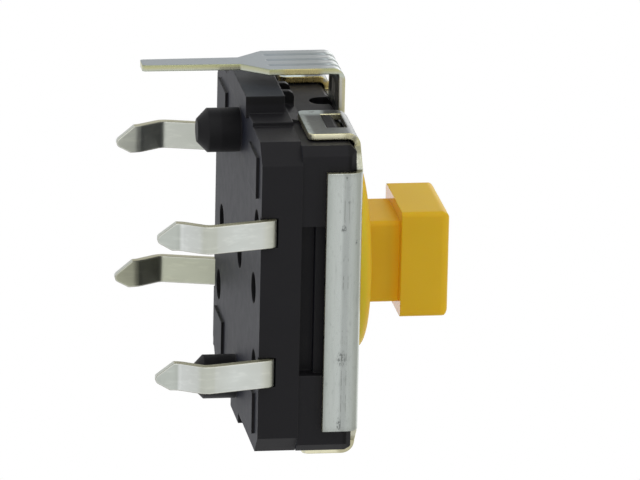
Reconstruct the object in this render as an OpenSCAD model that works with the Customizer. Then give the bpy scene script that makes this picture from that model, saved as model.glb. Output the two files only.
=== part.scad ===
// Tactile push button switch: 12 mm body, square key stem, four snap-in leads
// and a sheet metal frame that ends in a ground terminal.
// Z = 0 is the board's face under the standoff pads and +Z is the way the
// plunger points. X runs across the two lead rows and Y along them. The ground
// terminal is on the +Y side, called north here; -X is west.

/* [Body] */
// Body size across the lead rows
body_x = 11.8; // [11.4:0.1:12.2]
// Body size along the lead rows
body_y = 11.1; // [10.9:0.1:11.5]
// Height of the standoff pads under the body
pad_h = 0.1; // [0.05:0.01:0.2]
// Height of the slab's top edge above the board
slab_top = 1.5; // [1.4:0.05:1.7]
// Corner cut of the slab
slab_corner = 0.67; // [0.3:0.01:0.9]
// Height of the upper body's top, where the frame sits
body_top = 3.38; // [3.2:0.01:3.5]
// How far the upper body stands inside the slab on each side
upper_inset = 0.08; // [0.02:0.01:0.15]
// Corner cut of the upper body
upper_corner = 0.3; // [0.1:0.05:0.5]

/* [North face] */
// Half width of the raised middle of the slab's north face
raised_half = 3.35; // [3:0.05:4]
// How far that middle stands out
raised_out = 0.15; // [0.05:0.01:0.3]
// Half width of the block under the ground terminal
block_half = 2.25; // [1.8:0.05:2.6]
// Reach of the block from the body's centre
block_y = 6.32; // [6:0.01:6.5]
// Height of the block's top
block_top = 1.35; // [1:0.05:1.4]
// Half width of the sloping foot of the wall above the slab
foot_half = 2.55; // [2:0.05:3]
// Top of that foot
foot_top = 1.95; // [1.8:0.01:2.2]
// How far the foot stands out at the slab
foot_out = 0.12; // [0.05:0.01:0.13]
// Inner and outer limit of the two ribs behind the ground terminal
rib_x = [0.38, 0.65];
// Reach of the ribs from the body's centre
rib_y = 6.02; // [5.8:0.01:6.2]
// Height of the ribs' top
rib_top = 1.9; // [1.7:0.01:2]
// Radius of the ribs' top edge
rib_round = 0.2; // [0.1:0.05:0.25]
// Width of the rounded notch in the top edge
notch_w = 0.9; // [0.6:0.05:1.2]
// Bottom of the notch
notch_bottom = 2.53; // [2.3:0.01:2.8]
// Depth of the notch
notch_depth = 0.25; // [0.2:0.05:0.6]
// Half width of the lug on the slab's south face
lug_half = 1.0; // [0.6:0.1:1.5]
// How far the south lug stands out
lug_out = 0.37; // [0.1:0.01:0.5]

/* [Side pockets] */
// Length of the pocket in the west and east walls
pocket_y = 5.35; // [4:0.05:6]
// Depth of the pocket below its ledge
pocket_depth = 0.65; // [0.3:0.05:0.8]
// Depth of the pocket above its ledge
ledge_depth = 0.35; // [0.15:0.05:0.6]
// Height of the ledge
ledge_z = 2.04; // [1.8:0.01:2.3]
// Top of the pocket
pocket_top = 2.95; // [2.6:0.05:3.1]

/* [Underside] */
// Inner and outer limit of the standoff pads across the lead rows
pad_x = [3.05, 5.08];
// Inner and outer limit of the standoff pads along the lead rows
pad_y = [3.5, 4.95];
// Distance between the two locating bosses
boss_pitch = 9; // [8.6:0.1:9.2]
// Diameter of a locating boss
boss_d = 1.55; // [1.2:0.05:1.8]
// Reach of a boss below the board's face
boss_len = 1.4; // [1:0.05:2]
// Chamfer at the boss's end
boss_chamfer = 0.36; // [0.1:0.01:0.5]
// Diameter of the support-pin holes left by the mould
pin_hole_d = 1.1; // [0.6:0.05:1.4]

/* [Leads] */
// Distance between the two rows of board holes
lead_span = 12.5; // [12.3:0.05:12.9]
// Distance between the two leads of a row
lead_pitch = 5; // [4.5:0.1:5.4]
// Width of a lead
lead_w = 0.97; // [0.7:0.01:1.1]
// Thickness of the leads and contacts
lead_t = 0.25; // [0.2:0.01:0.35]
// Underside of the contact sheet above the board
sheet_z = 0.4; // [0.35:0.01:0.5]
// Radius of the sheet's middle line where a lead turns down
lead_bend = 0.22; // [0.18:0.01:0.3]
// How far a lead's middle line stands outside the slab below that bend
lead_out = 0.07; // [0.05:0.01:0.12]
// How far the kink stands outside the board hole's centre line
kink_out = 0.27; // [0.1:0.01:0.35]
// How far above and below the kink its round turn reaches
kink_turn = 0.22; // [0.05:0.01:0.3]
// Height of the kink
kink_z = -1.8; // [-2.1:0.01:-1.5]
// How far the waist below the kink stands inside that line
waist_in = 0.28; // [0.1:0.01:0.4]
// Height of the waist
waist_z = -2.67; // [-2.9:0.01:-2.5]
// How far above and below the waist its round turn reaches
waist_turn = 0.16; // [0.05:0.01:0.2]
// How far the tip stands inside that line
tip_in = 0.36; // [0.1:0.01:0.5]
// Height of the tips
tip_z = -3.48; // [-3.7:0.01:-3.3]
// Length of the pointed end along its north edge
point_north = 0.63; // [0.3:0.01:0.8]
// Length of the pointed end along its south edge
point_south = 0.5; // [0.3:0.01:0.8]
// How far the point lies south of the lead's middle
point_aside = 0.1; // [0:0.01:0.15]
// Radius of the point
point_r = 0.18; // [0.05:0.01:0.25]
// How far a lead's own sheet starts inside its board hole's line
lead_root = 2; // [1.5:0.1:2.5]
// Room round a lead where it leaves the slab
exit_room = 0.04; // [0.04:0.01:0.12]
// Depth of that room into the slab's side
exit_depth = 0.26; // [0.25:0.01:0.35]

/* [Contacts] */
// Diameter of the fixed centre contact
centre_d = 1.8; // [1.2:0.1:2.2]
// Width of the arms that carry the contacts
arm_w = 0.9; // [0.7:0.05:1]
// Height of the embossed rim contacts, level with the well's floor
emboss_h = 0.3; // [0.2:0.05:0.4]
// Diameter of a rim contact
emboss_d = 0.8; // [0.6:0.05:1]

/* [Snap dome] */
// Diameter of the snap dome
dome_d = 6.4; // [5.8:0.1:6.6]
// Height of the snap dome at rest
dome_h = 0.55; // [0.4:0.05:0.7]
// Thickness of the snap dome
dome_t = 0.08; // [0.05:0.01:0.12]

/* [Plunger] */
// Side of the square key cap
cap_w = 3.8; // [3.2:0.1:4.2]
// Underside of the cap
cap_bottom = 5.6; // [5.2:0.05:6]
// Top of the cap
cap_top = 7.3; // [6.8:0.05:8]
// Radius of the cap's top edges
cap_round = 0.3; // [0.1:0.05:0.5]
// Radius of the cap's and the neck's upright corners
corner_round = 0.17; // [0.05:0.01:0.4]
// Side of the square neck
neck_w = 2.95; // [2.4:0.05:3.1]
// Diameter of the round skirt in the frame's hole
skirt_d = 7; // [6.6:0.1:7.2]
// Top of the skirt
skirt_top = 4.38; // [4.1:0.01:4.7]
// Radius of the skirt's rim
skirt_round = 0.45; // [0.1:0.05:0.5]
// Diameter of the flange that the frame holds down
flange_d = 8.2; // [7.8:0.1:8.4]
// Thickness of that flange
flange_t = 0.55; // [0.4:0.05:0.6]
// Diameter of the post that presses the dome
post_d = 1.9; // [1.2:0.1:2.4]
// Width of the two guide lugs on the flange
guide_w = 1.2; // [0.8:0.1:1.6]
// Reach of the guide lugs past the flange
guide_out = 0.35; // [0.2:0.05:0.45]
// Travel of the plunger
travel = 0.3; // [0.2:0.05:0.4]

/* [Frame] */
// Thickness of the frame's sheet
frame_t = 0.22; // [0.15:0.01:0.25]
// Outer radius of the frame's bends
frame_bend = 0.45; // [0.35:0.01:0.55]
// Length of the west and east flanges
side_len = 9.25; // [8.6:0.05:9.4]
// Lower edge of those flanges
side_bottom = 2.33; // [2.1:0.01:2.6]
// Inner and outer limit of a latch tab from the middle
tab_x = [2.12, 5.05];
// Lower edge of the tabs
tab_bottom = 1.8; // [1.6:0.05:2]
// Inner and outer limit of a tab's window from the middle
window_x = [2.6, 4.3];
// Lower and upper edge of the windows
window_z = [2.52, 3.24];
// Height of a body catch's top inside its window
catch_top = 3.0; // [2.8:0.01:3.1]
// Upright share of a catch's front, below its slope
catch_flat = 0.65; // [0.4:0.05:0.8]
// How far a body catch stands out into its window
catch_out = 0.25; // [0.15:0.01:0.28]
// Radius of the tabs' lower corners
tab_round = 0.25; // [0.1:0.05:0.4]

/* [Ground terminal] */
// Distance of the terminal's outer face from the body's centre
ground_y = 6.98; // [6.9:0.01:7.2]
// Width of the ribbed part
ground_w = 2.4; // [2:0.05:2.6]
// Width of the lead below the ribbed part
ground_lead_w = 0.85; // [0.6:0.05:1]
// Width of the lead at its tip
ground_tip_w = 0.76; // [0.5:0.01:0.9]
// Heights where the ribbed part starts and stops narrowing
ground_taper_z = [0.95, 0.05];
// Height of the tip
ground_tip_z = -3.37; // [-3.5:0.01:-3]
// Radius of the tip's corners
ground_tip_round = 0.12; // [0.05:0.01:0.3]
// Radius inside the terminal's bend
ground_inner = 0.06; // [0.04:0.01:0.2]
// Distance between neighbouring grooves
groove_pitch = 0.66; // [0.6:0.01:0.7]
// Radius of a groove
groove_r = 0.16; // [0.1:0.01:0.18]
// Depth of a groove on the flat
groove_depth = 0.06; // [0.03:0.01:0.08]
// Radius of the grooves' own turn, which cuts the bend short
groove_bend = 0.75; // [0.6:0.05:0.9]
// Thickness of the sheet beside a groove
groove_wall = 0.1; // [0.06:0.01:0.14]
// Height where the grooves end
groove_end_z = 1.1; // [1:0.05:2]
// Distance from the body's centre where the grooves start
groove_start_y = 5.8; // [5.75:0.01:6]

/* [Fits] */
// Radial clearance of the skirt in the frame's hole
skirt_gap = 0.06; // [0.03:0.01:0.1]
// Radial clearance of the flange and its lugs in the well
well_gap = 0.1; // [0.05:0.01:0.15]
// Room left under the flange at the end of its travel
stop_gap = 0.12; // [0.05:0.01:0.2]
// Gap between the frame's walls and the upper body
wall_gap = 0.06; // [0.03:0.01:0.1]
// Room between the body's top edge break and the frame's bends
break_room = 0.02; // [0.01:0.01:0.05]
// Gap between a catch and the window's edges
catch_gap = 0.04; // [0.02:0.01:0.06]
// Gap between the post and the snap dome at rest
post_gap = 0.02; // [0.01:0.01:0.05]

/* [Hidden] */
$fn = 64;
eps = 0.01;

upper_x = body_x - 2 * upper_inset;
upper_y = body_y - 2 * upper_inset;
sheet_top = sheet_z + lead_t;
floor_z = sheet_top + emboss_h;
dome_well_d = dome_d + 2 * well_gap;
well_d = flange_d + 2 * well_gap;
flange_bottom = body_top - flange_t;
shoulder_z = flange_bottom - travel - stop_gap;
post_bottom = floor_z + dome_h + post_gap;
side_x = upper_x / 2 + wall_gap + frame_t;
tab_y = upper_y / 2 + wall_gap + frame_t;
frame_top = body_top + frame_t;
top_break = frame_bend - frame_t - wall_gap + break_room;
lead_z = sheet_z + lead_t / 2;
lead_x = body_x / 2 + lead_out;
hole_x = lead_span / 2;
row_y = lead_pitch / 2;
arm_x = dome_d / 2 - emboss_d / 2;
arm_y = 1.7;
bend_steps = 6;
// Centres of the round support-pin holes, as the mould left them
pin_holes = [[-4.25, 0.06], [4.1, 0], [-4.78, 2.47], [4.65, -2.58], [-4.65, -2.6], [-0.6, 0.2]];

// Square with cut corners, centred
module cut_square(x, y, cut) {
    polygon([[x / 2 - cut, -y / 2], [x / 2, -y / 2 + cut], [x / 2, y / 2 - cut], [x / 2 - cut, y / 2],
             [-x / 2 + cut, y / 2], [-x / 2, y / 2 - cut], [-x / 2, -y / 2 + cut],
             [-x / 2 + cut, -y / 2]]);
}

// Square with round corners, centred
module round_square(x, y, r) {
    square([x - 2 * r, y], center = true);
    square([x, y - 2 * r], center = true);
    for (sx = [-1, 1], sy = [-1, 1])
        translate([sx * (x / 2 - r), sy * (y / 2 - r)]) circle(r);
}

// Box between two corners
module span(a, b) {
    translate(a) cube(b - a);
}

// Copies on the four sides of both middle planes
module four_ways() {
    for (sx = [0, 1], sy = [0, 1]) mirror([sx, 0, 0]) mirror([0, sy, 0]) children();
}

// Outline of a strip of thickness t along a path of points
function unit(v) = v / norm(v);
function before(p, i) = i == 0 ? unit(p[1] - p[0]) : unit(p[i] - p[i - 1]);
function after(p, i) = i == len(p) - 1 ? before(p, i) : unit(p[i + 1] - p[i]);
function normal(v) = [-v[1], v[0]];
function mitre(p, i) = let (m = unit(normal(before(p, i) + after(p, i))))
    m / (m * normal(before(p, i)));
function strip(p, t) = concat(
    [for (i = [0:len(p) - 1]) p[i] + mitre(p, i) * t / 2],
    [for (i = [len(p) - 1:-1:0]) p[i] - mitre(p, i) * t / 2]);

// Round turn at q on the way from p to r, which starts and ends that far from q
function turn(p, q, r, far) = let (u = q - far * unit(q - p), v = q + far * unit(r - q))
    [for (k = [0:bend_steps]) let (t = k / bend_steps)
        (1 - t) * (1 - t) * u + 2 * t * (1 - t) * q + t * t * v];

// Middle line of a lead in its own plane, from inside the body to the tip
function lead_path() = concat(
    [[hole_x - lead_root, lead_z]],
    [for (k = [0:bend_steps]) let (a = 90 - 90 * k / bend_steps)
        [lead_x - lead_bend + lead_bend * cos(a), lead_z - lead_bend + lead_bend * sin(a)]],
    let (bend = [lead_x, lead_z - lead_bend], kink = [hole_x + kink_out, kink_z],
         waist = [hole_x - waist_in, waist_z], tip = [hole_x - tip_in, tip_z])
    concat(turn(bend, kink, waist, kink_turn), turn(kink, waist, tip, waist_turn), [tip]));

// Front outline of a lead: straight sides and a rounded point
module lead_front() {
    half = lead_w / 2;
    hull() {
        polygon([[-half, sheet_top + eps], [-half, tip_z + point_south], [half, tip_z + point_north],
                 [half, sheet_top + eps]]);
        translate([-point_aside, tip_z + point_r]) circle(point_r, $fn = 24);
    }
}

// One snap-in lead on the east side at Y = 0
module lead() {
    intersection() {
        rotate([90, 0, 0]) linear_extrude(2 * lead_w, center = true) polygon(strip(lead_path(), lead_t));
        translate([hole_x - lead_root, 0, 0]) rotate([90, 0, 90]) linear_extrude(2 * lead_root) lead_front();
    }
}

// Contact sheet of one lead row: a bar with a lead at each end
module lead_pair() {
    inner = hole_x - lead_root + eps;
    span([-inner, -lead_w / 2, sheet_z], [inner, lead_w / 2, sheet_top]);
    for (s = [0, 1]) mirror([s, 0, 0]) lead();
}

module rim_contact_terminals() {
    color([0.80, 0.81, 0.79]) {
        translate([0, row_y, 0]) lead_pair();
        for (s = [0, 1]) mirror([s, 0, 0]) {
            span([arm_x - arm_w / 2, -arm_y, sheet_z], [arm_x + arm_w / 2, row_y, sheet_top]);
            for (y = [-arm_y + arm_w / 2, arm_y - arm_w / 2])
                translate([sqrt(pow(arm_x, 2) - pow(y, 2)), y, sheet_top]) cylinder(emboss_h, d = emboss_d);
        }
    }
}

module centre_contact_terminals() {
    color([0.80, 0.81, 0.79]) {
        translate([0, -row_y, 0]) lead_pair();
        span([-arm_w / 2, -row_y, sheet_z], [arm_w / 2, 0, sheet_top]);
        translate([0, 0, sheet_z]) cylinder(lead_t, d = centre_d);
    }
}

// Disc spring: a spherical cap of even thickness
module snap_dome() {
    outer_r = (pow(dome_d / 2, 2) + pow(dome_h, 2)) / (2 * dome_h);
    color([0.78, 0.78, 0.75])
    translate([0, 0, floor_z + dome_h - outer_r])
    rotate_extrude()
    intersection() {
        difference() {
            circle(outer_r, $fn = 256);
            circle(outer_r - dome_t, $fn = 256);
        }
        translate([0, outer_r - dome_h]) square([dome_d, 2 * dome_h]);
    }
}

// Slab, upper body and all that stands out from them
module body_solid() {
    translate([0, 0, pad_h]) linear_extrude(slab_top - pad_h) cut_square(body_x, body_y, slab_corner);
    translate([0, 0, slab_top - eps]) linear_extrude(body_top - slab_top + eps)
        cut_square(upper_x, upper_y, upper_corner);
    span([-raised_half, 0, pad_h], [raised_half, body_y / 2 + raised_out, slab_top]);
    span([-block_half, body_y / 2, 0], [block_half, block_y, block_top]);
    wall_foot();
    for (s = [0, 1]) mirror([s, 0, 0]) north_rib();
    span([-lug_half, -body_y / 2 - lug_out, pad_h], [lug_half, 0, slab_top]);
    four_ways() {
        span([pad_x[0], pad_y[0], 0], [pad_x[1], pad_y[1], pad_h + eps]);
        catch();
    }
    for (s = [-1, 1]) translate([0, s * boss_pitch / 2, 0]) boss();
}

// Sloping foot of the north wall
module wall_foot() {
    wall = upper_y / 2;
    rotate([90, 0, 90]) linear_extrude(2 * foot_half, center = true)
        polygon([[wall - eps, slab_top - eps], [wall + foot_out, slab_top - eps], [wall + foot_out, slab_top],
                 [wall, foot_top], [wall - eps, foot_top]]);
}

// Rib on the block and the wall, with a round top edge
module north_rib() {
    wall = upper_y / 2 - eps;
    y = rib_y - rib_round;
    z = rib_top - rib_round;
    translate([rib_x[0], 0, 0]) rotate([90, 0, 90]) linear_extrude(rib_x[1] - rib_x[0]) {
        translate([wall, pad_h]) square([rib_y - wall, z - pad_h]);
        translate([wall, pad_h]) square([y - wall, rib_top - pad_h]);
        translate([y, z]) circle(rib_round);
    }
}

// Locating boss with a chamfered end
module boss() {
    r = boss_d / 2;
    rotate_extrude() polygon([[0, -boss_len], [r - boss_chamfer, -boss_len],
        [r, -boss_len + boss_chamfer], [r, pad_h + eps], [0, pad_h + eps]]);
}

// Wedge that snaps into a tab's window: flat below, sloping above
module catch() {
    low = window_z[0] + catch_gap;
    slope = low + (catch_top - low) * catch_flat;
    wall = upper_y / 2;
    translate([window_x[0] + catch_gap, 0, 0]) rotate([90, 0, 90])
        linear_extrude(window_x[1] - window_x[0] - 2 * catch_gap)
        polygon([[wall - eps, low], [wall + catch_out, low], [wall + catch_out, slope],
                 [wall + catch_out / 2, catch_top], [wall - eps, catch_top]]);
}

// Pocket in a side wall, deeper below its ledge
module side_pocket() {
    wall = body_x / 2 + eps;
    span([upper_x / 2 - pocket_depth, -pocket_y / 2, slab_top], [wall, pocket_y / 2, ledge_z]);
    span([upper_x / 2 - ledge_depth, -pocket_y / 2, ledge_z - eps], [wall, pocket_y / 2, pocket_top]);
}

// Room for a lead and its bend at the slab's side
module lead_exit() {
    half = lead_w / 2 + exit_room;
    for (y = [-row_y, row_y])
        span([body_x / 2 - exit_depth, y - half, pad_h - eps],
             [body_x / 2 + eps, y + half, sheet_top + exit_room]);
}

// Stepped round well for the dome and the plunger's flange, with guide slots
module well() {
    slot_half = guide_w / 2 + well_gap;
    slot_y = flange_d / 2 + guide_out + well_gap;
    translate([0, 0, floor_z]) cylinder(body_top - floor_z + eps, d = dome_well_d);
    translate([0, 0, shoulder_z]) cylinder(body_top - shoulder_z + eps, d = well_d);
    span([-slot_half, -slot_y, shoulder_z], [slot_half, slot_y, body_top + eps]);
    translate([0, 0, sheet_top]) cylinder(emboss_h + eps, d = centre_d);
}

// Edge break along the four top edges
module top_breaks() {
    side = top_break * sqrt(2);
    for (s = [0, 1]) {
        mirror([s, 0, 0]) translate([upper_x / 2, 0, body_top]) rotate([0, 45, 0])
            cube([side, body_y, side], center = true);
        mirror([0, s, 0]) translate([0, upper_y / 2, body_top]) rotate([45, 0, 0])
            cube([body_x, side, side], center = true);
    }
}

// Rounded notch in the north wall's top edge
module north_notch() {
    wall = upper_y / 2;
    translate([0, wall - notch_depth, notch_bottom + notch_w / 2]) {
        rotate([-90, 0, 0]) cylinder(2 * notch_depth, d = notch_w);
        span([-notch_w / 2, 0, 0], [notch_w / 2, 2 * notch_depth, body_top]);
    }
}

module base() {
    color([0.13, 0.13, 0.14])
    difference() {
        body_solid();
        well();
        north_notch();
        top_breaks();
        for (s = [0, 1]) mirror([s, 0, 0]) {
            side_pocket();
            lead_exit();
        }
        for (p = pin_holes) translate([p[0], p[1], -eps]) cylinder(sheet_z + eps, d = pin_hole_d);
        rim_contact_terminals();
        centre_contact_terminals();
    }
}

// Square prism with rounded top edges and rounded upright corners
module key_cap() {
    h = cap_top - cap_bottom;
    translate([0, 0, cap_bottom]) intersection() {
        linear_extrude(h) round_square(cap_w, cap_w, corner_round);
        crossed_bars(h);
    }
}

// Common part of two bars along X and Y whose top edges are round
module crossed_bars(h) {
    intersection() {
        rotate([90, 0, 0]) linear_extrude(2 * cap_w, center = true) top_rounded(h);
        rotate([90, 0, 90]) linear_extrude(2 * cap_w, center = true) top_rounded(h);
    }
}

// Front view of the cap: square below, rounded above
module top_rounded(h) {
    translate([-cap_w / 2, 0]) square([cap_w, h - cap_round]);
    translate([-cap_w / 2 + cap_round, 0]) square([cap_w - 2 * cap_round, h]);
    for (s = [-1, 1]) translate([s * (cap_w / 2 - cap_round), h - cap_round]) circle(cap_round);
}

module plunger() {
    color([0.90, 0.72, 0.16]) {
        key_cap();
        translate([0, 0, skirt_top - eps]) linear_extrude(cap_bottom - skirt_top + 2 * eps)
            round_square(neck_w, neck_w, corner_round);
        rotate_extrude() {
            translate([0, body_top]) square([skirt_d / 2, skirt_top - skirt_round - body_top]);
            translate([0, body_top]) square([skirt_d / 2 - skirt_round, skirt_top - body_top]);
            translate([skirt_d / 2 - skirt_round, skirt_top - skirt_round]) circle(skirt_round);
        }
        translate([0, 0, flange_bottom]) cylinder(flange_t, d = flange_d);
        span([-guide_w / 2, -flange_d / 2 - guide_out, flange_bottom],
             [guide_w / 2, flange_d / 2 + guide_out, body_top]);
        translate([0, 0, post_bottom]) cylinder(body_top - post_bottom, d = post_d);
    }
}

// Quarter bend of the sheet from the plate, facing +X, w wide along Y
module sheet_bend(w) {
    translate([0, w / 2, -frame_bend]) rotate([90, 0, 0])
        rotate_extrude(angle = 90) translate([frame_bend - frame_t, 0]) square([frame_t, w]);
}

// Flat plate inside the bends, with the round hole for the skirt
module frame_plate() {
    x = side_x - frame_bend;
    y = tab_y - frame_bend;
    translate([0, 0, body_top]) linear_extrude(frame_t) difference() {
        polygon([[x, -side_len / 2], [x, side_len / 2], [tab_x[1], y], [-tab_x[1], y],
                 [-x, side_len / 2], [-x, -side_len / 2], [-tab_x[1], -y], [tab_x[1], -y]]);
        circle(d = skirt_d + 2 * skirt_gap);
    }
}

// West or east flange below its bend
module side_flange() {
    translate([side_x - frame_bend, 0, frame_top]) sheet_bend(side_len);
    span([side_x - frame_t, -side_len / 2, side_bottom], [side_x, side_len / 2, frame_top - frame_bend]);
}

// Latch tab on the north side, with a window that reaches into its bend
module latch_tab() {
    w = tab_x[1] - tab_x[0];
    x = (tab_x[0] + tab_x[1]) / 2;
    difference() {
        union() {
            translate([x, tab_y - frame_bend, frame_top]) rotate([0, 0, 90]) sheet_bend(w);
            translate([0, tab_y, 0]) rotate([90, 0, 0]) linear_extrude(frame_t) tab_front();
        }
        span([window_x[0], tab_y - frame_bend, window_z[0]], [window_x[1], tab_y + eps, window_z[1]]);
    }
}

// Front outline of a latch tab with round lower corners
module tab_front() {
    low = tab_bottom + tab_round;
    w = tab_x[1] - tab_x[0];
    translate([tab_x[0], low]) square([w, frame_top - frame_bend - low]);
    translate([tab_x[0] + tab_round, tab_bottom]) square([w - 2 * tab_round, tab_round + eps]);
    for (x = [tab_x[0] + tab_round, tab_x[1] - tab_round])
        translate([x, low]) circle(tab_round);
}

// Front outline of the ground terminal, wide above and narrow below
module ground_front() {
    z = frame_top - frame_bend;
    half = ground_lead_w / 2;
    tip = ground_tip_w / 2;
    r = ground_tip_round;
    polygon([[-ground_w / 2, z], [-ground_w / 2, ground_taper_z[0]], [-half, ground_taper_z[1]],
             [-tip, ground_tip_z + r], [tip, ground_tip_z + r], [half, ground_taper_z[1]],
             [ground_w / 2, ground_taper_z[0]], [ground_w / 2, z]]);
    translate([-tip + r, ground_tip_z]) square([2 * (tip - r), 2 * r]);
    for (s = [-1, 1]) translate([s * (tip - r), ground_tip_z + r]) circle(r);
}

// All that lies inside the ground terminal's outer face, seen from the east
module ground_inside() {
    y = ground_y - frame_bend;
    z = frame_top - frame_bend;
    square([ground_y, z]);
    square([y, frame_top]);
    translate([y, z]) circle(frame_bend);
}

// Bend of the ground terminal and its bridge to the plate, seen from the east
module ground_bridge() {
    y = ground_y - frame_t;
    difference() {
        ground_inside();
        square([tab_y - frame_bend - eps, frame_top + eps]);
        square([ground_y + eps, frame_top - frame_bend]);
        square([y - ground_inner, body_top]);
        square([y, body_top - ground_inner]);
        translate([y - ground_inner, body_top - ground_inner]) circle(ground_inner);
    }
}

// Rod of radius r along a groove, its middle line that far out of the sheet's face
module groove_rod(r, out) {
    y = ground_y - groove_bend;
    z = frame_top - groove_bend;
    translate([0, ground_y + out, groove_end_z]) {
        cylinder(z - groove_end_z, r = r, $fn = 24);
        sphere(r, $fn = 24);
    }
    translate([0, y, z]) rotate([90, 0, 90])
        rotate_extrude(angle = 90, $fn = 48) translate([groove_bend + out, 0]) circle(r, $fn = 24);
    translate([0, groove_start_y, frame_top + out]) {
        rotate([-90, 0, 0]) cylinder(y - groove_start_y, r = r, $fn = 24);
        sphere(r, $fn = 24);
    }
}

// Copies at each groove
module at_grooves() {
    for (k = [-1:1]) translate([k * groove_pitch, 0, 0]) children();
}

// Ground terminal: bend, ribbed part and lead
module ground_terminal() {
    back_r = groove_r + groove_wall;
    difference() {
        union() {
            rotate([90, 0, 90]) linear_extrude(ground_w, center = true) ground_bridge();
            translate([0, ground_y, 0]) rotate([90, 0, 0]) linear_extrude(frame_t) ground_front();
            intersection() {
                at_grooves() groove_rod(back_r, back_r - groove_depth - frame_t);
                rotate([90, 0, 90]) linear_extrude(ground_w, center = true) ground_inside();
            }
        }
        at_grooves() groove_rod(groove_r, groove_r - groove_depth);
    }
}

module frame() {
    color([0.72, 0.75, 0.74]) {
        frame_plate();
        for (s = [0, 1]) mirror([s, 0, 0]) side_flange();
        four_ways() latch_tab();
        ground_terminal();
    }
}

base();
centre_contact_terminals();
rim_contact_terminals();
snap_dome();
plunger();
frame();
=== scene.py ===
import math

import bpy
import numpy as np
from mathutils import Matrix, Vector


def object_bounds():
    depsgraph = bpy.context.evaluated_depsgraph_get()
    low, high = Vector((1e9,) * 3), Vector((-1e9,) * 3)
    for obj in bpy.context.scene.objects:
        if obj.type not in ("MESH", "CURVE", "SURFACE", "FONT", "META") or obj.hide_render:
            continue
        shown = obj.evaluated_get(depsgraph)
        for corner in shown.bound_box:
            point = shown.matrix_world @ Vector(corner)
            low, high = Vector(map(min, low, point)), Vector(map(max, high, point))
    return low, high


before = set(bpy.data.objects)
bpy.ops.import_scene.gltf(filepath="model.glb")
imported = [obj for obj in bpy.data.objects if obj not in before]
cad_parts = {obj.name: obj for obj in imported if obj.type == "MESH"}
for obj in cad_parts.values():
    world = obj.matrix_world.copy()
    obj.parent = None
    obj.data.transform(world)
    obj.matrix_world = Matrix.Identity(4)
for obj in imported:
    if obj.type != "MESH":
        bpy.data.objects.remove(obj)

mm = 0.001
cad_low, cad_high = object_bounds()


# Moulded base
# The black body: one injection moulding in glass-filled nylon with a fine
# spark-eroded grain. It holds both contact sheets, carries the two locating
# bosses and takes the metal frame on four catches.
class Socket:
    """An output of a finish's node. Sums, differences, products and quotients with it add Math nodes."""

    def __init__(self, finish, socket):
        self.finish = finish
        self.socket = socket

    def __add__(self, other):
        return self.finish.maths("ADD", self, other)

    def __mul__(self, other):
        return self.finish.maths("MULTIPLY", self, other)

    def __sub__(self, other):
        return self.finish.maths("SUBTRACT", self, other)

    def __rsub__(self, other):
        return self.finish.maths("SUBTRACT", other, self)

    def __truediv__(self, other):
        return self.finish.maths("DIVIDE", self, other)

    def __abs__(self):
        return self.finish.maths("ABSOLUTE", self)

    __radd__ = __add__
    __rmul__ = __mul__


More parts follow.
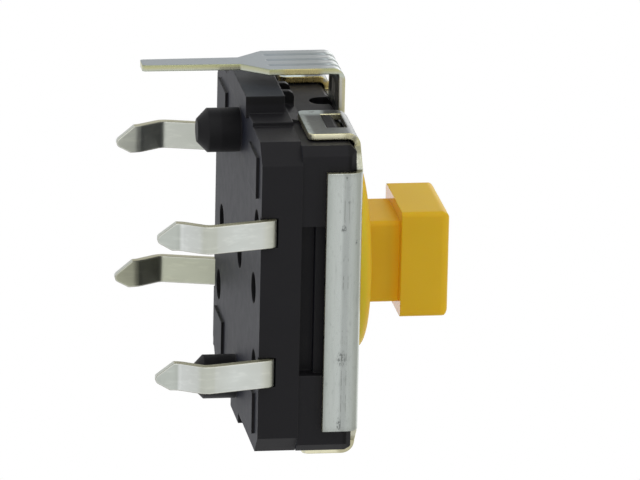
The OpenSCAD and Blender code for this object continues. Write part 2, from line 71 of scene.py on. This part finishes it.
class Finish:
    """A procedural material under construction, on Object coordinates."""

    def __init__(self, name):
        self.material = bpy.data.materials.new(name)
        self.material.use_nodes = True
        self.tree = self.material.node_tree
        self.tree.nodes.clear()
        self.place = self.node("TexCoord", {}, {}, "Object")
        self.facing = self.node("TexCoord", {}, {}, "Normal")

    def node(self, kind, settings, sockets, out=0):
        """Adds one node: its settings first, then the value or link of each socket; gives one output."""
        made = self.tree.nodes.new("ShaderNode" + kind)
        for key, value in settings.items():
            setattr(made, key, value)
        for key, value in sockets.items():
            if isinstance(value, Socket):
                self.tree.links.new(value.socket, made.inputs[key])
            else:
                made.inputs[key].default_value = value
        return Socket(self, made.outputs[out])

    def maths(self, operation, *values):
        """A Math node of that operation on these values or links."""
        return self.node("Math", {"operation": operation}, dict(enumerate(values)))

    def axes(self, vector):
        """The three numbers of a vector."""
        apart = self.node("SeparateXYZ", {}, {0: vector})
        return [Socket(self, apart.socket.node.outputs[k]) for k in range(3)]

    def noise(self, size, stretch=(1, 1, 1), detail=3.0, shift=0.0):
        """Noise from 0 to 1, with features about size metres across, longer where stretch is above 1."""
        scaled = self.node("VectorMath", {"operation": "MULTIPLY"},
                           {0: self.place, 1: [1 / (size * s) for s in stretch]})
        moved = self.node("VectorMath", {"operation": "ADD"}, {0: scaled, 1: [shift] * 3})
        return self.node("TexNoise", {}, {"Vector": moved, "Scale": 1.0, "Detail": detail}, "Fac")

    def rise(self, value, low, high):
        """0 below low, 1 above high, and a smooth step between them; falls where high is below low."""
        ends = (0.0, 1.0) if low < high else (1.0, 0.0)
        return self.node("MapRange", {"interpolation_type": "SMOOTHSTEP"},
                         {"Value": value, "From Min": min(low, high), "From Max": max(low, high),
                          "To Min": ends[0], "To Max": ends[1]})

    def zone(self, *steps):
        """The product of smooth steps, each (value, (start, full)): 0 at start mm and 1 at full mm."""
        shares = [self.rise(value, start * mm, full * mm) for value, (start, full) in steps]
        return math.prod(shares[1:], start=shares[0])

    def mixed(self, share, first, second, way="MIX"):
        """Two colours mixed, with that share of the second."""
        full = [c if isinstance(c, Socket) else (*c, 1.0) for c in (first, second)]
        sockets = {0: share, 6: full[0], 7: full[1]}
        return self.node("Mix", {"data_type": "RGBA", "blend_type": way}, sockets, 2)

    def times(self, first, second):
        """The product of two colours."""
        return self.mixed(1.0, first, second, "MULTIPLY")

    def layered(self, ground, *layers):
        """A colour with others laid over it in turn, each given as (share, colour)."""
        for share, colour in layers:
            ground = self.mixed(share, ground, colour)
        return ground

    def ramp(self, value, span, stops):
        """A colour read along value from stops of (place, colour), straight between them; places in mm."""
        low, high = span
        read = self.node("ValToRGB", {}, {0: (value - low * mm) / (high * mm - low * mm)})
        elements = read.socket.node.color_ramp.elements
        while len(elements) < len(stops):
            elements.new(1.0)
        for element, (at, colour) in zip(elements, stops):
            element.position = (at - low) / (high - low)
            element.color = (*colour, 1.0)
        return read

    def arris(self, normal, low=0.02, high=0.12):
        """1 along sharp edges, where the rounded normal leaves the face's own, and 0 on flat faces."""
        along = self.node("VectorMath", {"operation": "DOT_PRODUCT"}, {0: normal, 1: self.facing}, "Value")
        return self.rise(1.0 - along, low, high)

    def relief(self, height, depth, normal=None):
        """A bump of that depth in metres from a height of 0 to 1, over those normals where given."""
        sockets = {"Strength": 1.0, "Distance": depth, "Height": height}
        if normal:
            sockets["Normal"] = normal
        return self.node("Bump", {}, sockets)

    def rounded(self, radius):
        """Normals that turn round each sharp edge as a rounding of that radius does."""
        return self.node("Bevel", {"samples": 8}, {"Radius": radius})

    def surface(self, **sockets):
        """Ends in the plain shader and gives the material; an underscore stands for a space."""
        self.close(self.node("BsdfPrincipled", {}, {k.replace("_", " "): v for k, v in sockets.items()}))
        return self.material

    def close(self, shader):
        """Ends the material on that shader."""
        end = self.tree.nodes.new("ShaderNodeOutputMaterial")
        self.tree.links.new(shader.socket, end.inputs["Surface"])


def dress(node, material):
    """Gives a CAD node its finish."""
    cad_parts[node].data.materials.clear()
    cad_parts[node].data.materials.append(material)


def grey(level):
    """A neutral colour of that level."""
    return (level, level, level)


# A face counts as turned along an axis, or against it, from the first to the
# second of these shares of its normal.
along_axis = 0.5, 0.9
against_axis = -0.5, -0.9

# Here and in the sections below, a pair of places is a soft step in mm: none of
# the look at the first place and all of it at the second.
outer_block = 5.90, 6.10
outer_block_side = 5.95, 6.10
boss_sheen_band = -0.55, -0.65
shaded_wall_tops = 3.02, 3.14
outside_wall = 5.57, 5.62
above_block = 1.36, 1.42
rib_field = 0.80, 0.75

black = Finish("black_moulding")
x, y, z = black.axes(black.place)
face_x, face_y, face_z = black.axes(black.facing)
fine = black.noise(0.06 * mm, detail=4.0)
flow = black.noise(1.6 * mm, (1.0, 1.0, 2.2), shift=3.0)
mottle = black.noise(0.5 * mm, shift=7.0)
turned = black.rounded(0.07 * mm)

underside_sheen = black.rise(face_z, *against_axis)
block_face_sheen = black.rise(face_y, *along_axis) * black.zone((y, outer_block))
block_side_shade = black.rise(face_x, *against_axis) * black.zone((y, outer_block_side))
ribs_in_shade = black.zone((y, outside_wall), (z, above_block), (abs(x), rib_field))
edge_sheen = black.arris(turned, 0.02, 0.2) * (1.0 - ribs_in_shade)
painted_shade = grey(0.003)
tint = black.layered(
    black.mixed(flow, (0.0105, 0.0103, 0.0118), (0.0135, 0.0133, 0.0150)),
    # a painted bluish sheen on the faces turned downwards
    (underside_sheen, (0.011, 0.0125, 0.021)),
    # a painted lighter sheen on the north block's outer face
    (block_face_sheen, (0.023, 0.027, 0.033)),
    # a painted highlight on the bosses below the pads
    (black.zone((z, boss_sheen_band)), (0.0170, 0.0168, 0.0185)),
    # painted shade on the block's west-facing side
    (block_side_shade, (0.0075, 0.0074, 0.0080)),
    # painted shade on the walls' tops under the plate
    (0.75 * black.zone((z, shaded_wall_tops)), painted_shade),
    # painted shade on the ribs behind the terminal
    (0.75 * ribs_in_shade, painted_shade),
    # painted highlights along the sharp edges
    (0.5 * edge_sheen, (0.03, 0.03, 0.031)),
)
dress("base", black.surface(
    Base_Color=tint,
    Roughness=0.42 + 0.1 * mottle + 0.08 * fine,
    Specular_IOR_Level=0.12,
    Normal=black.relief(fine, 0.0035 * mm, turned),
))


# Leads and contacts
# Two stampings of 0.25 mm brass strip, silver plated before they are blanked,
# so the faces are bright silver and the sheared edges show a dull brassy tone.
# Each carries a pair of kinked snap-in leads and is moulded into the base.
lead_span = -3.5, 1.0
south_pair = 1.0, -1.0
facing_inwards = 0.0, -1.0
above_kink = -1.78, -1.70
below_waist = -2.56, -2.64
below_root = 0.30, 0.20

silver = Finish("plated_brass_strip")
x, y, z = silver.axes(silver.place)
face_x, face_y = silver.axes(silver.facing)[:2]
turned = silver.rounded(0.07 * mm)
sheared = silver.rise(abs(face_y), 0.75, 0.92)
rolled = silver.noise(0.12 * mm, (1.0, 1.0, 12.0), shift=2.0)
cloud = silver.noise(0.8 * mm, (1.0, 0.5, 1.8), shift=5.0)
wisp = silver.rise(silver.noise(0.16 * mm, (1.0, 1.0, 7.0), 4.0, 11.0), 0.50, 0.72)

# The outer faces change tone at each kink, from the point up to the root: light and shade painted along
# the height, with a painted highlight at the waist bend and painted shade at the point and at the root.
outer_shading = silver.ramp(z, lead_span, [
    (-2.90, (0.80, 0.82, 0.78)), (-2.75, (0.75, 0.77, 0.73)), (-2.68, grey(1.04)),
    (-2.63, grey(1.10)), (-2.58, grey(1.02)), (-2.10, (0.94, 0.94, 0.92)),
    (-1.95, (0.83, 0.83, 0.76)), (-1.54, (0.85, 0.85, 0.78)), (-1.45, (0.91, 0.91, 0.87)),
    (-0.80, (0.99, 1.0, 0.98)), (0.10, (0.95, 0.95, 0.92)), (0.26, (0.89, 0.88, 0.81)),
    (0.50, (0.68, 0.67, 0.59)),
])

# The inner faces have three flats, shank, slope and tip, that meet in the bends at kink and waist. Light
# and shade are painted on them: the slope is painted in shade, the tip brighter, and the whole inner face
# a shaded cream, darker and yellower on the south pair.
southern = silver.zone((y, south_pair))
flat_shading = silver.layered(
    silver.mixed(southern, grey(0.76), (0.54, 0.53, 0.53)),
    (silver.zone((z, below_waist)), silver.mixed(southern, (1.38, 1.37, 1.33), (1.05, 1.03, 0.98))),
    (silver.zone((z, above_kink)), grey(1.0)),
)
inner_shading = silver.times(silver.mixed(southern, (0.93, 0.93, 0.87), (0.83, 0.83, 0.68)), flat_shading)
lead_shading = silver.mixed(silver.zone((x * face_x, facing_inwards)), outer_shading, inner_shading)

plate = silver.mixed(cloud, (0.54, 0.56, 0.54), (0.63, 0.655, 0.64))
plate = silver.times(silver.mixed(0.35 * wisp, plate, (0.76, 0.78, 0.76)), lead_shading)
rim = silver.arris(turned, 0.002, 0.01) * (1.0 - sheared) * silver.zone((z, below_root))
brass = silver.mixed(silver.noise(0.25 * mm, (1.0, 1.0, 3.0)), (0.46, 0.45, 0.33), (0.30, 0.29, 0.19))
plated = silver.surface(
    Base_Color=silver.layered(
        plate,
        # a painted highlight just inside the sharp edges
        (0.5 * rim, (0.85, 0.85, 0.80)),
        (sheared, brass),
        # painted shade in a dark olive line along the sharp edges
        (0.75 * silver.arris(turned, 0.04, 0.14), (0.19, 0.185, 0.125)),
    ),
    Metallic=0.88,
    Roughness=0.32 + 0.10 * rolled + 0.12 * sheared,
    Normal=silver.relief(rolled, 0.003 * mm, turned),
)
for stamping in ("centre_contact_terminals", "rim_contact_terminals"):
    dress(stamping, plated)


# Snap dome
# The movable contact: a disc of hard rolled spring strip, pressed to a low cap
# and dropped into the base's well. Its rolling lines run one way across it.
spring = Finish("rolled_spring_strip")
lines = spring.noise(0.07 * mm, (14.0, 1.0, 1.0))
wear = spring.rise(spring.noise(0.8 * mm, shift=4.0), 0.45, 0.7)
dress("snap_dome", spring.surface(
    Base_Color=spring.mixed(lines, (0.60, 0.59, 0.55), (0.68, 0.67, 0.63)),
    Metallic=1.0,
    Roughness=0.22 + 0.12 * lines + 0.06 * wear,
    Normal=spring.relief(lines, 0.001 * mm),
))


# Plunger
# The yellow key: one moulding in acetal with a satin skin, slightly milky so
# that light gets a short way into it. Cap, neck, skirt and flange are one piece.
below_skirt_top = 4.30, 4.10
neck_end = 5.20, 5.60
within_neck = 1.52, 1.49
cap_level = 5.45, 5.55

yellow = Finish("yellow_moulding")
x, y, z = yellow.axes(yellow.place)
face_z = yellow.axes(yellow.facing)[2]
skin = yellow.noise(0.09 * mm)
drift = yellow.noise(2.5 * mm, shift=6.0)
aside = yellow.maths("MAXIMUM", abs(x), abs(y))
lit_under_cap = yellow.rise(face_z, -0.3, -0.7) * yellow.zone((z, cap_level))
amber_and_glow = yellow.layered(
    yellow.mixed(drift, (0.64, 0.40, 0.020), (0.70, 0.45, 0.026)),
    # painted light on the top of the neck under the cap, where shade would fall
    (yellow.zone((z, neck_end), (aside, within_neck)), (0.86, 0.50, 0.016)),
    # painted light on the cap's downward face
    (lit_under_cap, (0.86, 0.47, 0.014)),
)
# The skirt and flange below the cap are painted a paler lemon, standing in for light that comes through
# the thin wall.
lemon_glow = yellow.mixed(drift, (0.60, 0.45, 0.030), (0.66, 0.50, 0.038))
dress("plunger", yellow.surface(
    Base_Color=yellow.mixed(yellow.zone((z, below_skirt_top)), amber_and_glow, lemon_glow),
    Roughness=0.45 + 0.08 * skin,
    Specular_IOR_Level=0.08,
    Coat_Weight=lit_under_cap,
    Coat_Roughness=0.15,
    Subsurface_Weight=0.45,
    Subsurface_Radius=(0.8, 0.4, 0.04),
    Subsurface_Scale=0.6 * mm,
    Normal=yellow.relief(skin, 0.0015 * mm, yellow.rounded(0.06 * mm)),
))


# Latch frame
# One stamping of 0.22 mm plated sheet, folded over the body: a top plate, two flanges, four windowed tabs
# snapped over the catches and the ribbed ground terminal. Its blanked edges are brassy, its skin is
# scuffed, and the light and shade of its bends, end walls and tabs are painted into its colour.
groove_pitch = 0.66 * mm
flange_span = 2.3, 3.6
terminal_span = 6.74, 7.0

# Places in mm that tell the parts of the stamping from one another.
beyond_plate = 5.45, 5.60
within_flange = 4.70, 4.64
end_walls = 5.00, 5.15
tab_field = 1.90, 2.10
tab_inner_strip = 2.90, 2.40
north_side = 5.50, 5.60
terminal_wall = 6.55, 6.70
above_taper = 0.98, 1.05
groove_field = 1.17, 1.14
lower_edges = 2.75, 2.60

sheet = Finish("plated_sheet")
x, y, z = sheet.axes(sheet.place)
face_x, face_y, face_z = sheet.axes(sheet.facing)
turned = sheet.rounded(0.06 * mm)
on_flange = sheet.zone((abs(x), beyond_plate), (abs(y), within_flange))
on_tab = sheet.zone((abs(x), tab_field))
on_terminal = sheet.zone((y, terminal_wall))
grooved = sheet.zone((y, north_side), (z, above_taper), (abs(x), groove_field))

# The cut edges face along Y on the flanges, along X elsewhere, and down where
# the sheet ends. The grooves' sloping walls face along X too but aren't cut.
side_cut = on_flange * abs(face_y) + (1.0 - on_flange) * (1.0 - grooved) * abs(face_x)
end_cut = abs(face_z) * sheet.zone((z, lower_edges))
cut = sheet.rise(sheet.maths("MAXIMUM", side_cut, end_cut), 0.6, 0.85)

# Plate and flanges: a bright rolled skin. On the flanges light and shade are painted along the height:
# painted shade at the lower edge, a darker band just below the bend, and the bend's reflections painted as
# lighter and darker bands up to the top.
brushed = sheet.noise(0.1 * mm, (1.0, 9.0, 1.0), shift=1.0)
patch = sheet.noise(1.3 * mm, (0.5, 1.6, 0.6), shift=8.0)
streak = sheet.rise(sheet.noise(0.09 * mm, (1.0, 14.0, 1.0), 2.0, 21.0), 0.45, 0.7)
flange_shading = sheet.ramp(z, flange_span, [
    (2.33, (0.66, 0.66, 0.64)), (2.44, (0.88, 0.89, 0.87)), (2.60, (1.0, 1.0, 0.99)),
    (2.85, grey(1.04)), (2.94, grey(0.81)), (3.06, grey(0.80)), (3.17, (0.93, 0.93, 0.92)),
    (3.28, (0.90, 0.90, 0.88)), (3.40, (0.76, 0.76, 0.72)), (3.50, (0.62, 0.62, 0.57)),
    (3.58, (0.80, 0.80, 0.78)),
])
bright = sheet.mixed(patch, (0.42, 0.45, 0.43), (0.48, 0.51, 0.49))
bright = sheet.mixed(0.16 * streak, bright, (0.30, 0.32, 0.31))
bright = sheet.mixed(on_flange, bright, sheet.times(bright, flange_shading))

# The end walls are painted darker, as shade, and a little bluer low down, with painted highlights on the
# crests between the grooves near the bend. The tabs are painted darkest, as shade, but the strip of each
# that is nearest to the middle has a painted highlight low down and painted shade above, and the tip a
# painted highlight half as bright.
turns = (2 * np.pi / groove_pitch) * x
crest_highlight = sheet.rise(sheet.maths("COSINE", turns), -0.1, -0.8) * sheet.zone((z, (2.70, 3.10)))
low_down = sheet.zone((z, (2.40, 1.20)))
strip = sheet.zone((abs(x), tab_inner_strip)) * on_tab
strip_highlight = strip * sheet.zone((z, (2.80, 2.50)))
strip_shade = 0.5 * strip * sheet.zone((z, (2.65, 2.75)))
tip_highlight = 0.5 * on_tab * sheet.zone((z, (2.05, 1.90)))
end_wall_shade = sheet.layered(
    sheet.mixed(patch, (0.225, 0.25, 0.255), (0.27, 0.295, 0.30)),
    (low_down, (0.270, 0.299, 0.316)),
    # painted highlights on the crests between the grooves
    (0.8 * crest_highlight, (0.46, 0.48, 0.475)),
    # painted shade on the tabs
    (on_tab, (0.105, 0.114, 0.111)),
    # painted highlights on the inner strips low down and on the tab tips
    (sheet.maths("MAXIMUM", strip_highlight, tip_highlight), (0.55, 0.62, 0.61)),
    # painted shade on the inner strips higher up
    (strip_shade, (0.07, 0.075, 0.07)),
)
blot = sheet.rise(sheet.noise(0.22 * mm, (1.4, 1.0, 0.7), shift=31.0), 0.52, 0.68) * on_tab
end_wall_faces = sheet.zone((abs(y), end_walls)) * sheet.rise(abs(face_y), 0.1, 0.4)
scuff = sheet.rise(sheet.noise(0.13 * mm, (1.0, 2.4, 1.0), 5.0, 12.0), 0.56, 0.72)
bright = sheet.layered(
    bright,
    # painted shade on the end walls, with dark blots on the tabs
    (end_wall_faces, sheet.mixed(0.45 * blot, end_wall_shade, (0.08, 0.085, 0.08))),
    (0.25 * scuff, (0.20, 0.215, 0.20)),
)

# The marks of handling: gritty smudges and two broken drag lines that waver. The flange's ends are painted
# darker, as shade, broken up by grit.
waver = 0.03 * mm * sheet.noise(1.1 * mm, (1.0, 1.0, 60.0), 2.0, 51.0)


def smudge(at_y, at_z, half_y, half_z):
    """1 in the middle of an oval on the flanges, falling to 0 at its edge; places and lengths in mm.

    The way out is the sum of two squares, each of the distance along an axis over the half length there.
    """
    off_y = (y - at_y * mm) / (half_y * mm)
    off_z = (z - at_z * mm) / (half_z * mm)
    return sheet.rise(off_y * off_y + off_z * off_z, 1.0, 0.1) * on_flange


def drag_line(height, edge, core):
    """1 within core mm of a wavering line along the sheet at that height, falling to 0 at edge mm."""
    return sheet.rise(abs(z + waver - height * mm), edge * mm, core * mm)


# Each smudge's place along Y and Z, and its half lengths along them.
first_mark, *more_marks = [smudge(*oval) for oval in (
    (-2.00, 2.93, 0.38, 0.19),
    (-4.35, 2.88, 0.32, 0.10),
    (2.65, 2.92, 0.18, 0.12),
    (2.15, 3.38, 0.14, 0.05),
    (3.60, 3.10, 0.08, 0.06),
    (4.45, 2.99, 0.09, 0.05),
)]
marks = sum(more_marks, first_mark)
grit = sheet.rise(sheet.noise(0.055 * mm, (1.0, 1.8, 1.0), 4.0, 41.0), 0.47, 0.58)
gaps = sheet.rise(sheet.noise(0.45 * mm, (1.0, 1.0, 60.0), 4.0, 57.0), 0.46, 0.56)
low_line = drag_line(height=2.955, edge=0.024, core=0.008)
high_line = drag_line(height=3.115, edge=0.020, core=0.006)
shaded_ends = sheet.zone((abs(y), (4.40, 4.62))) * on_flange
bright = sheet.layered(
    bright,
    (marks * (0.14 + 0.72 * grit), (0.13, 0.14, 0.135)),
    (0.55 * (low_line + high_line) * gaps * on_flange, (0.17, 0.18, 0.165)),
    # painted shade at the flange's ends, broken up by grit
    (0.35 * shaded_ends * (0.4 + 0.6 * grit), (0.20, 0.205, 0.18)),
)

# The cut edges: brass painted pale, as light, low on the west half, and painted dark, as shade, elsewhere;
# golden on the east tabs, and grey along the inner side of the sheet that runs out to the terminal.
sawn = sheet.noise(0.2 * mm, shift=15.0)
pale_brass = sheet.mixed(sawn, (0.80, 0.77, 0.56), (0.66, 0.64, 0.46))
dark_brass = sheet.mixed(sawn, (0.52, 0.49, 0.33), (0.40, 0.38, 0.25))
lit_west_cuts = sheet.zone((y, (6.10, 5.90)), (z, (3.15, 2.90)), (x, (0.50, -0.50)))
east_tabs = 0.9 * sheet.zone((x, (1.60, 1.90)))
grey_band = sheet.zone((z, (3.52, 3.47)), (z, (3.30, 3.36)), (y, north_side)) * (1.0 - on_terminal)

# The cut edges of the terminal: bands from its inner to its outer face, golden between taper and bend, and
# with a painted reflection of the dark base on the inner side just below the taper.
bands = sheet.ramp(y, terminal_span, [
    (6.77, (0.49, 0.53, 0.46)), (6.85, (0.49, 0.485, 0.325)),
    (6.92, (0.46, 0.46, 0.24)), (6.97, (0.30, 0.32, 0.205)),
])
golden = sheet.zone((z, (1.20, 1.60)), (z, (2.90, 2.60)))
base_reflection = sheet.zone((z, (-0.80, -0.60)), (z, (0.10, 0.02)), (y, (6.93, 6.85)))
bands = sheet.layered(bands, (0.9 * golden, (0.50, 0.43, 0.20)), (0.6 * base_reflection, (0.20, 0.19, 0.14)))

# The plate's north-west corner is torn: dark below, pale above, flecked with painted glints, and painted
# darker where its slanting edge would mirror the key lamp.
corner = sheet.zone((y, (4.50, 4.62)), (y, (5.75, 5.55)), (z, (3.20, 3.30)), (x, (-4.50, -4.80)))
glint_flecks = sheet.rise(sheet.noise(0.10 * mm, detail=4.0, shift=61.0), 0.5, 0.66)
high_up = sheet.zone((z, (3.40, 3.50)))
slant_shade = sheet.zone((y, (5.36, 5.28)), (z, (3.40, 3.48)))
torn = sheet.layered(
    sheet.mixed(high_up, (0.17, 0.165, 0.11), (0.43, 0.42, 0.25)),
    (0.45 * glint_flecks, (0.66, 0.64, 0.50)),
    (0.5 * slant_shade, (0.03, 0.03, 0.015)),
)
blanked = sheet.layered(
    sheet.mixed(lit_west_cuts, dark_brass, pale_brass),
    (east_tabs, (0.56, 0.42, 0.15)),
    (on_terminal, bands),
    (grey_band, (0.47, 0.455, 0.40)),
    (0.9 * corner, torn),
)

# The underside of the sheet that runs out to the terminal is painted as a dull dark grey, for its shade,
# with a highlight painted along one bead.
shaded_inside = sheet.rise(face_z, -0.3, -0.8) * sheet.zone((y, north_side), (z, (3.00, 3.10)))
bead_at = -0.2 * mm
bead_highlight = sheet.zone((abs(x - bead_at), (0.24, 0.12)))
bright = sheet.mixed(shaded_inside, bright, sheet.mixed(bead_highlight, (0.16, 0.152, 0.135), (0.62, 0.60, 0.54)))
brassy = sheet.arris(turned) * sheet.rise(cut, 0.0, 0.2)
edge_tone = sheet.mixed(on_terminal, (0.50, 0.46, 0.19), (0.27, 0.28, 0.15))
dress("frame", sheet.surface(
    Base_Color=sheet.layered(bright, (cut, blanked), (0.6 * brassy, edge_tone)),
    Metallic=0.93 - 0.7 * shaded_inside,
    Roughness=0.24 + 0.08 * brushed + 0.12 * end_wall_faces,
    Normal=sheet.relief(brushed, 0.002 * mm, turned),
))


# Studio
# A plain pale table just under the lead tips, an even white surround and four
# soft lamps. The table shows only from above and never in reflections, because
# the photograph looks at the switch from slightly below the board's face.
table_radius = 0.4
table_gap = 0.02 * mm
# In mm from the middle: where the table starts to fade, and where it is gone.
table_fade = 40, 200
surround_light = 0.66
surround_seen = 1.0
lamp_aim = np.array([0.0, 0.0, 2.0 * mm])


def added(name, data):
    """A new object of that data in the scene."""
    made = bpy.data.objects.new(name, data)
    bpy.context.scene.collection.objects.link(made)
    return made


def stood(*columns):
    """The matrix with these columns: the side, upward and backward directions, then the place."""
    return Matrix([[column[k] for column in columns] for k in range(3)] + [[0, 0, 0, 1]])


def table_top(radius, height, points=96):
    """A flat disc at that height: one face round a ring of points, by cosine and sine of equal turns."""
    turn = np.linspace(0, 2 * np.pi, points, endpoint=False)
    ring = np.stack([radius * np.cos(turn), radius * np.sin(turn), np.full(points, height)], 1)
    mesh = bpy.data.meshes.new("table_top")
    mesh.from_pydata(ring.tolist(), [], [list(range(points))])
    return mesh


table = added("table", table_top(table_radius, cad_low[2] - table_gap))
pale = Finish("pale_table")
from_middle = pale.node("VectorMath", {"operation": "LENGTH"}, {0: pale.place}, "Value")
far_off = pale.zone((from_middle, table_fade))
below = pale.node("NewGeometry", {}, {}, "Backfacing")
mirrored = pale.node("LightPath", {}, {}, "Is Glossy Ray")
unseen = pale.maths("MAXIMUM", pale.maths("MAXIMUM", below, far_off), mirrored)
matte = pale.node("BsdfPrincipled", {}, {"Base Color": (*grey(0.86), 1.0), "Roughness": 0.9})
clear = pale.node("BsdfTransparent", {}, {})
pale.close(pale.node("MixShader", {}, {0: unseen, 1: matte, 2: clear}))
table.data.materials.append(pale.material)

# The surround is a third dimmer to diffuse rays than to camera, glossy and
# transmission rays.
world = bpy.data.worlds.new("white_surround")
world.use_nodes = True
bpy.context.scene.world = world
nodes, links = world.node_tree.nodes, world.node_tree.links
rays = nodes.new("ShaderNodeLightPath")
seen = rays.outputs["Is Camera Ray"]
for kind in ("Is Glossy Ray", "Is Transmission Ray"):
    either = nodes.new("ShaderNodeMath")
    either.operation = "MAXIMUM"
    links.new(seen, either.inputs[0])
    links.new(rays.outputs[kind], either.inputs[1])
    seen = either.outputs[0]
level = nodes.new("ShaderNodeMapRange")
level.inputs["To Min"].default_value = surround_light
level.inputs["To Max"].default_value = surround_seen
links.new(seen, level.inputs["Value"])
links.new(level.outputs[0], nodes["Background"].inputs["Strength"])
nodes["Background"].inputs["Color"].default_value = (*grey(1.0), 1.0)


def soft_lamp(name, place, size, power):
    """A square area lamp of that size in metres and power in watts, turned to the switch's middle."""
    lamp = bpy.data.lights.new(name, "AREA")
    lamp.shape = "SQUARE"
    lamp.size = size
    lamp.energy = power
    away = np.array(place) - lamp_aim
    away /= np.linalg.norm(away)
    side = np.cross([0.0, 0.0, 1.0], away)
    side /= np.linalg.norm(side)
    made = added(name, lamp)
    made.matrix_world = stood(side, np.cross(away, side), away, place)
    made.visible_camera = False


soft_lamp("key_lamp", place=(-0.16, 0.29, 0.16), size=0.22, power=0.28)
soft_lamp("fill_lamp", place=(0.20, -0.18, 0.24), size=0.25, power=0.12)
soft_lamp("rim_lamp", place=(0.33, 0.02, 0.11), size=0.09, power=0.07)
soft_lamp("front_lamp", place=(-0.38, 0.11, -0.06), size=0.20, power=0.32)

# The camera fitted to the photograph's edges: about 277 mm away, a long lens,
# on the west side, a little north of the switch and below the board's face.
lens = bpy.data.cameras.new("sight")
lens.sensor_width = 36.0
lens.lens = 447.34
lens.clip_start = 0.02
lens.clip_end = 5.0
sight = added("sight", lens)
right = (-0.1421211, 0.02037362, 0.98963959)
upward = (0.29127766, 0.9563823, 0.02214112)
back = (-0.94602268, 0.29140662, -0.14185648)
stand = (-262.965 * mm, 81.412 * mm, -36.416 * mm)
sight.matrix_world = stood(right, upward, back, stand)
bpy.context.scene.camera = sight

bpy.context.scene.view_settings.view_transform = "Standard"
